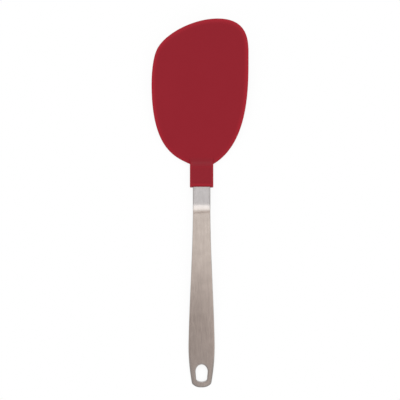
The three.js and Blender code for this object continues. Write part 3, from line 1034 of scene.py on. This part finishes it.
# %% Rings along the rim and columns beside the ramp
wide_rings = {0.8, 1.3, 2.0, 2.7, 3.6, 4.5}
ring_steps = sorted({*edge_steps(top_nose, 6).round(4), *wide_rings} - {0.0})
ramp_rows = np.concatenate((np.arange(0.25, 5.01, 0.25), (5.5, 6.0)))
ring_clear, above_ramp = 0.15, 8.5
rings = []
for step in ring_steps:
    ring = inset(edge_line, step, closed=False)
    beside = (np.abs(ring[:, 0]) > collar_half + ring_clear) | (ring[:, 1] > above_ramp)
    rings.append(ring[beside])
columns = []
for way, start in ((1, right_start), (-1, left_end)):
    inner = [(way * collar_half, 0.0)] + [(way * collar_half, y) for y in ramp_rows]
    outer = [start] + [(way * (collar_half + wall_gap), y) for y in ramp_rows]
    columns += [np.array(inner), np.array(outer)]
print("head plan:", len(rings), "rings and", len(columns), "columns")

# %% Rows inside the collar and a grid inside the blade
# Points too close to a ring or a column would make slivers, so they are left out.
foot_steps, runout_rows = (0.1, 0.25, 0.45, 0.7), (6.8, 7.6)
grid_step, grid_gap, root_span, root_depth = 1.75, 0.7, 11.2, 8.4
fence_gap, ring_room = 0.018, 0.12
foot_columns = [way * (collar_half + d) for way in (1, -1) for d in foot_steps]
bead_rows = np.array((0.3, 0.6, 0.9, 1.2, 1.6, 2.0, 2.4))
lip_rows = (edge_steps(lip_round, 10)[1:] - mouth_at, bead_rows - lip_start)
long_rows = np.concatenate((ramp_rows, runout_rows, -collar_rows, *lip_rows))
blade_grid = grid_of(np.arange(-43, 43, grid_step), np.arange(0.5, 126, grid_step))
deep = distance_to(blade_grid, edge_line, closed=False) > top_bevel + grid_gap
blade_grid = blade_grid[deep & within(blade_grid, head_outline)]
blade_grid = blade_grid[(np.abs(blade_grid[:, 0]) > root_span) | (blade_grid[:, 1] > root_depth)]
collar_grid, foot_grid = grid_of(inner_columns, long_rows), grid_of(foot_columns, ramp_rows)
loose = np.concatenate((collar_grid, foot_grid, blade_grid))
loose = loose[within(loose, head_outline)]
loose = clear_of(loose, np.concatenate((head_outline, *columns)), fence_gap)
outside = np.abs(loose[:, 0]) > collar_half
outer_points = clear_of(loose[outside], np.concatenate(rings + [edge_line]), ring_room)
loose = np.concatenate((outer_points, loose[~outside]))
print("head plan:", len(loose), "points inside")

# %% Tile the head and give it its heights
head_paths = [(head_outline, True)] + [(ring, False) for ring in rings]
head_paths += [(column[1:], False) for column in columns]
head_points, head_faces = tile(head_paths, loose, head_outline)
not_rim = np.full(len(head_outline) - len(edge_line), np.inf)
known = [np.zeros(len(edge_line)), not_rim]
known = np.concatenate(known + [np.full(len(r), d) for r, d in zip(rings, ring_steps)])
rest = distance_to(head_points[len(known) :], edge_line, closed=False)
rim_distance = np.concatenate((known, rest))
rim_distance[head_points[:, 1] < 0.0] = np.inf
head_top, head_bottom = head_heights(head_points, rim_distance)
head = sheet("silicone_head", head_points, head_faces, head_top, head_bottom, crease=50.0)
# The mouth leans: the lower a point of it lies, the further forward it goes.
for corner in head.data.vertices:
    near_mouth = smoothstep(-corner.co.y, mouth_at - lean_zone, mouth_at)
    corner.co.y += mouth_lean * max(handle_top - corner.co.z, 0.0) * near_mouth
print("head moulded:", len(head.data.polygons), "faces")

# %% Cut the pocket for the tang, the leaf and the rivets
tang_half, tang_front = neck_width / 2 + pocket_room, -(tang_tip - pocket_room)
tang_low, tang_high = handle_bottom - pocket_room, handle_top + pocket_room
past_mouth = 3.0
tang_back = -mouth_at - past_mouth
tang_box = [(-tang_half, tang_back), (tang_half, tang_back)]
tang_box = np.array(tang_box + [(tang_half, tang_front), (-tang_half, tang_front)])
tang_points, tang_faces = tile([(tang_box, True)], np.zeros((0, 2)), tang_box)
tang_room = sheet("tang_room", tang_points, tang_faces, np.full(4, tang_high), np.full(4, tang_low))
for room in (tang_room, core_room, rivet_room):
    cut = head.modifiers.new(room.name, "BOOLEAN")
    cut.operation, cut.solver, cut.object = "DIFFERENCE", "EXACT", room
    keep_result(head, cut)
    bpy.data.objects.remove(room)
merge_close(head)
print("head with its pocket:", len(head.data.polygons), "faces")

# %% Mark the painted rim glow and highlights, and the ramp, for the silicone finish
rim_width, side_width, collar_front = 3.8, 1.7, 1.0
lip_highlight_share, lip_highlight_at, lip_highlight_width = 0.4, 1.2, 0.8
root_dim, root_near, root_far = 0.5, 8.0, 40.0
ramp_foot, ramp_full, ramp_fade, ramp_clear = -ramp_back - 1.0, 0.5, 1.0, 4.5
solid_head = np.array([v.co for v in head.data.vertices])
x, y, z = solid_head.T
from_edge = distance_to(solid_head[:, :2], edge_line, closed=False)
from_edge[y < 0.0] = np.inf
from_wall = np.where(y < collar_front, collar_half - np.abs(x), np.inf)
near_root = 1.0 - root_dim * smoothstep(-y, -root_far, -root_near)
# Painted glow: the blade's thin rim is lighter, less so near the root.
rim_glow = near_root * np.clip(1.0 - from_edge / rim_width, 0.0, 1.0)
# Painted highlight along the collar's rounded sides.
collar_side_highlight = np.clip(1.0 - from_wall / side_width, 0.0, 1.0)
# Painted highlight in a line across the lip of the mouth.
lip_highlight = lip_highlight_share * np.exp(-(((y + mouth_at - lip_highlight_at) / lip_highlight_width) ** 2))
on_ramp = smoothstep(y, ramp_foot, ramp_full) * (1.0 - smoothstep(y, ramp_fade, ramp_clear))
mark_points(head, "rim", np.maximum(np.maximum(rim_glow, collar_side_highlight), lip_highlight))
mark_points(head, "ramp", on_ramp * ((np.abs(x) < collar_half) & (z > 0.0)))
print("rim and ramp marked on", len(solid_head), "points")

# %% Bend all four pieces
for piece, finish in (
    (handle, brushed_steel),
    (head, silicone),
    (core, spring_steel),
    (rivets, rivet_steel),
):
    press(piece, finish)
for helper in (spine, hole_line, rivet_line):
    bpy.data.objects.remove(helper)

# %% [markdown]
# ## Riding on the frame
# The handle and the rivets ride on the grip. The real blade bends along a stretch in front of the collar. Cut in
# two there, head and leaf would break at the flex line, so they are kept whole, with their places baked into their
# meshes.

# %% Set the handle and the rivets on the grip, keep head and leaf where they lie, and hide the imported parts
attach(handle, "grip")
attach(rivets, "grip")
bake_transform(head)
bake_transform(core)
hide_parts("handle")
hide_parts("collar", "blade")
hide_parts("spring_core")
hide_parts("front_rivet", "rear_rivet")

# %% [markdown]
# ## The floor
# The turner lies on a white table. A lit white floor would be grey in places, so this one lets
# each camera ray through to a white world below. Ambient Occlusion tells how much of the sky the
# turner hides from a place on the floor, and the floor darkens the ray by that, which is the soft
# shadow of a studio. Light that bounces meets half a floor, so that the underside is lit from
# both sides, and from below the floor is clear.

# %% The white floor
floor_half = 6.0
corners = [(x * floor_half, y * floor_half, 0.0) for x, y in ((-1, -1), (1, -1), (1, 1), (-1, 1))]
floor_mesh = bpy.data.meshes.new("white_table")
floor_mesh.from_pydata(corners, [], [(0, 1, 2, 3)])
floor = bpy.data.objects.new("white_table", floor_mesh)
scene.collection.objects.link(floor)
floor_finish = bpy.data.materials.new("white_table_finish")
floor_finish.use_nodes = True
floor_finish.node_tree.nodes.clear()
pen = Wire(floor_finish.node_tree)
ray = pen.node("ShaderNodeLightPath", out="Is Camera Ray")
seen = ray.math("MAXIMUM", ray, ray.also("Is Glossy Ray"))
seen = seen.math("MAXIMUM", seen, ray.also("Is Transmission Ray"))
bounced = seen.math("MAXIMUM", ray.also("Is Diffuse Ray"), ray.also("Is Shadow Ray"))
from_under = pen.node("ShaderNodeNewGeometry", out="Backfacing")
shadow_depth, shadow_reach, shadow_falloff, bounce_share = 0.42, 0.1, 3.0, 0.5
floor_white = (0.95, 0.95, 0.95, 1.0)
open_sky = pen.node(
    "ShaderNodeAmbientOcclusion", {"samples": 16}, {"Distance": shadow_reach}, out="AO"
)
shadow = seen * (1.0 - from_under) * shadow_depth * (1.0 - open_sky) ** shadow_falloff
let_through = seen + bounced * (1.0 - bounce_share)
let_through = let_through.math("MAXIMUM", let_through, from_under)
paint = pen.node("ShaderNodeBsdfDiffuse", sockets={"Color": floor_white})
clear = pen.node("ShaderNodeBsdfTransparent", sockets={"Color": 1.0 - shadow})
table = pen.node("ShaderNodeMixShader", sockets={0: let_through, 1: paint, 2: clear})
pen.node("ShaderNodeOutputMaterial", sockets={"Surface": table})
floor_mesh.materials.append(floor_finish)
print("floor laid at z = 0")

# %% [markdown]
# ## Light
# Steel shows what stands around it. The neck leans towards the tip and mirrors the far side of the
# studio. The grip arches, so it mirrors what is overhead first and the near side after that. The
# dome of the world is therefore a ramp from the near side to the far one: dim and warm where the
# low end of the grip looks, bright overhead, cooler towards the tip. A picture of a room could
# light it too, but a ramp can be read and changed. A soft box over the blade puts the bright band
# on the bend, a strip lamp beyond the tip shows the ramp in front of the collar, and a fill lamp
# over the hanging end lights the silicone from there, without showing in the steel.


# %% The dome of light
def eased(pen, value, start, end, low=0.0):
    """Rises softly from low to 1 while a value goes from start to end."""
    values = {0: value, 1: start, 2: end, 3: low}
    return pen.node("ShaderNodeMapRange", {"interpolation_type": "SMOOTHSTEP"}, values)


# The low end of the grip mirrors the near side.
near_side = [
    (0.0, (0.55, 0.55, 0.55)),
    (0.29, (0.52, 0.49, 0.48)),
    (0.335, (0.43, 0.365, 0.336)),
    (0.38, (0.38, 0.322, 0.296)),
    (0.401, (0.37, 0.313, 0.288)),
]
# The rest of the grip mirrors what is overhead.
overhead = [
    (0.425, (1.06, 0.965, 0.90)),
    (0.453, (1.01, 0.92, 0.858)),
    (0.464, (0.90, 0.82, 0.765)),
    (0.478, (0.75, 0.685, 0.642)),
    (0.50, (0.73, 0.672, 0.63)),
]
# The neck mirrors the far side.
far_side = [
    (0.70, (0.88, 0.875, 0.90)),
    (0.86, (0.82, 0.835, 0.88)),
    (1.0, (0.82, 0.82, 0.82)),
]
side_tone, ground_tone, ground_line = (0.62, 0.60, 0.59, 1.0), (1.0, 1.0, 1.0, 1.0), -0.005
horizon_light, right_boost = 0.55, 0.45
world = bpy.data.worlds.new("studio_dome")
scene.world = world
world.use_nodes = True
world.node_tree.nodes.clear()
pen = Wire(world.node_tree)
toward = pen.node("ShaderNodeTexCoord", out="Generated")
way = pen.node("ShaderNodeSeparateXYZ", sockets={"Vector": toward})
far = 0.5 + 0.5 * way.also("Y")
stops = {"stops": near_side + overhead + far_side}
dome = pen.node("ShaderNodeValToRGB", stops, {"Fac": far})
aside = eased(pen, way.math("ABSOLUTE", way.also("X")), start=0.3, end=0.7)
dome = mixed(pen, aside, dome, side_tone)
below = way.math("LESS_THAN", way.also("Z"), ground_line)
sky = mixed(pen, below, dome, ground_tone)
on_right = eased(pen, way.also("X"), start=0.0, end=0.05)
on_near_side = eased(pen, way.also("Y"), start=-0.12, end=-0.18)
above_horizon = eased(pen, way.also("Z"), start=0.0, end=0.4, low=horizon_light)
strength = above_horizon * (1.0 + right_boost * on_right * on_near_side)
strength = strength.math("MAXIMUM", strength, below)
light = pen.node("ShaderNodeBackground", sockets={"Color": sky, "Strength": strength})
pen.node("ShaderNodeOutputWorld", sockets={"Surface": light})
print("dome set with", len(stops["stops"]), "stops")


# %% Hang the three lamps
def hang_lamp(name, place, radiance, width, depth=None, tilt=(0.0, 0.0, 0.0)):
    """A flat lamp that isn't seen itself: a rectangle, or a disk if it has no depth."""
    lamp = bpy.data.lights.new(name, "AREA")
    lamp.shape, lamp.size = "RECTANGLE" if depth else "DISK", width
    if depth:
        lamp.size_y = depth
    area = width * depth if depth else math.pi * (width / 2) ** 2
    lamp.energy = radiance * math.pi * area
    hung = bpy.data.objects.new(name, lamp)
    hung.location, hung.rotation_euler = place, tilt
    hung.visible_camera = False
    scene.collection.objects.link(hung)
    print(name, "hangs at", tuple(round(v, 3) for v in hung.location))
    return hung


box_height, box_near, box_far = 1.3, math.radians(0.8), math.radians(22.4)
near_y, far_y = box_height * math.tan(box_near), box_height * math.tan(box_far)
box_place = (0.0, (near_y + far_y) / 2, box_height)
hang_lamp("soft_box", box_place, radiance=0.69, width=1.8, depth=far_y - near_y)

strip_angle, strip_away = math.radians(61), 1.3
strip_place = Vector((0.0, math.sin(strip_angle), math.cos(strip_angle))) * strip_away
hang_lamp("strip", strip_place, 7.0, width=0.5, depth=0.15, tilt=(-strip_angle, 0.0, 0.0))

fill_place = Vector((0.0, -0.6, 0.62))
fill_tilt = (-fill_place).to_track_quat("-Z", "Y").to_euler()
fill_lamp = hang_lamp("fill", fill_place, radiance=1.55, width=0.9, tilt=fill_tilt)
fill_lamp.visible_glossy = False

# %% [markdown]
# ## The camera
# The photograph looks straight down, and so does a camera that isn't turned. An orthographic camera
# would do, but a photograph has some perspective, so this one is far away and has a long lens. Its
# place centres the picture.

# %% The camera
picture_middle, camera_height = (-0.000134, 0.003891), 1.7
camera = bpy.data.cameras.new("camera")
camera.lens, camera.sensor_width = 176.33, 36.0
camera.clip_end = 100.0
eye = bpy.data.objects.new("camera", camera)
eye.location = (*picture_middle, camera_height)
scene.collection.objects.link(eye)
scene.camera = eye
scene.view_settings.view_transform = "Standard"
print("camera", tuple(eye.location))
